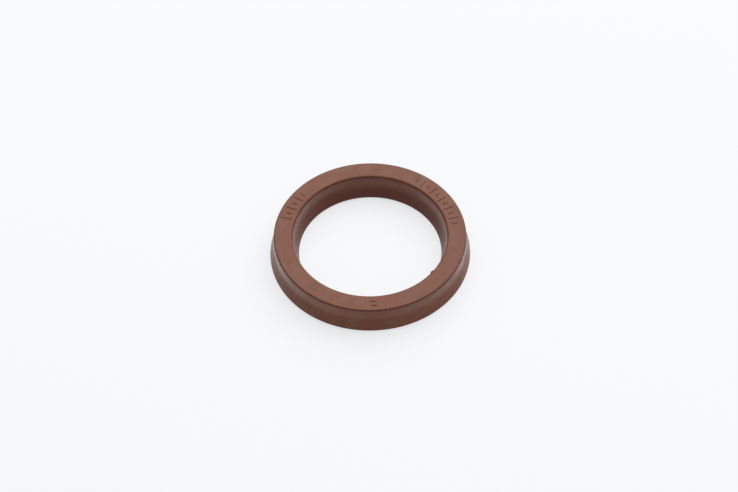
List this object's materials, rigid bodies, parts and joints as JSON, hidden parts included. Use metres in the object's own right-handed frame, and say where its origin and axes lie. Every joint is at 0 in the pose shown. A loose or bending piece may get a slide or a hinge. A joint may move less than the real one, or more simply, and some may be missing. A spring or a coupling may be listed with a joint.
{
  "type": "u cup seal",
  "caption": "Brown rubber U cup seal: a flat heel ring with two flaring lips and a groove between them, for a rod in a gland.",
  "frame": {"origin": "on the seal's axis, level with the tips of its two lips, which it lies on", "axes": "+Z along the seal's axis, from the lip tips to the flat heel face; the seal is round, so +X and +Y are free"},
  "size_m": [0.042, 0.042, 0.006],
  "materials": {
    "seal_rubber": "brown fluorocarbon rubber, satin to matte as moulded"
  },
  "bodies": {
    "root": {"seal": "seal_rubber"}
  },
  "joints": []
}
